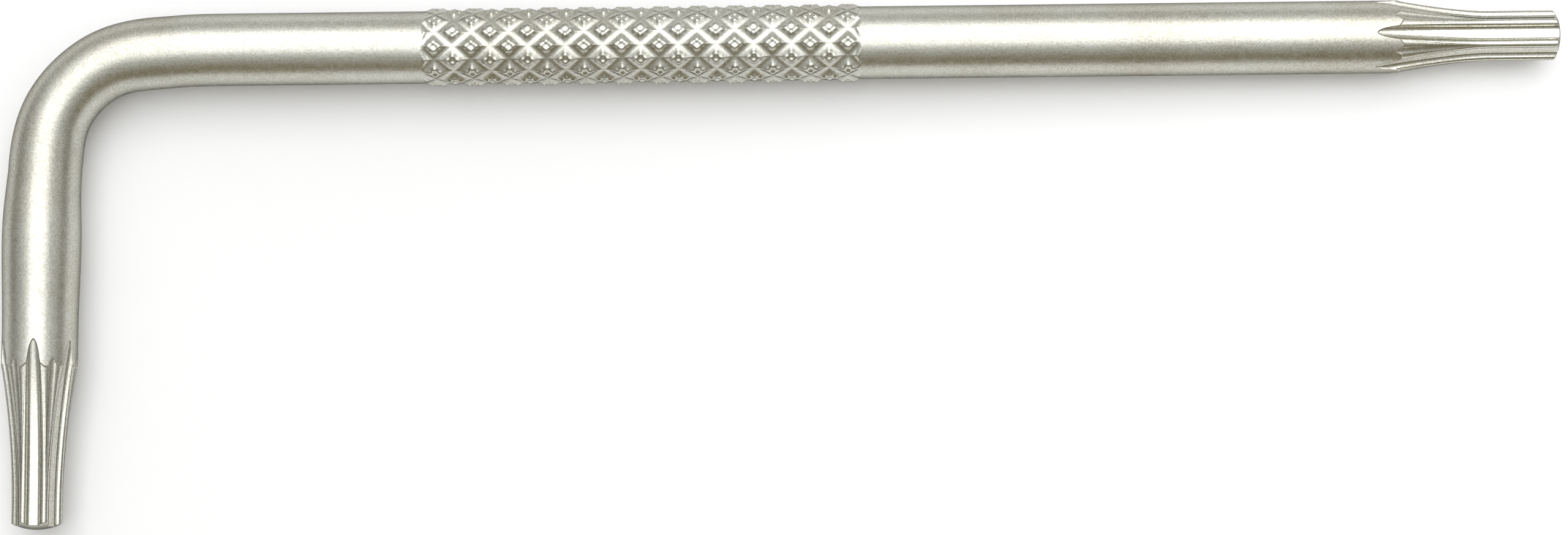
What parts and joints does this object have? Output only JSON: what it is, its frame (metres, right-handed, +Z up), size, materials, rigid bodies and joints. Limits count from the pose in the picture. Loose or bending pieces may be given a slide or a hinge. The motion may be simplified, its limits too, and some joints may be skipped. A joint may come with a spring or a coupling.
{
  "type": "star key",
  "caption": "L-shaped star key bent from round satin steel bar, with a hexalobular drive on each arm and a diamond-knurled finger grip on the long arm.",
  "frame": {"origin": "under the middle of the key's box, on the surface that it lies flat on", "axes": "+X along the long arm to its star, -Y along the short arm to its star, +Z up, square to the plane of the bend"},
  "size_m": [0.0856, 0.0286, 0.0043],
  "materials": {
    "satin_steel": "satin plated, fine blasted grain",
    "knurl_steel": "satin plated, rolled diamonds with brighter edges",
    "star_steel": "satin plated, smoother forged faces"
  },
  "bodies": {
    "root": {"long_star": "star_steel", "long_neck": "star_steel", "long_shank": "satin_steel", "knurled_grip": "knurl_steel", "middle_shank": "satin_steel", "bend": "satin_steel", "short_shank": "satin_steel", "short_neck": "star_steel", "short_star": "star_steel"}
  },
  "joints": []
}
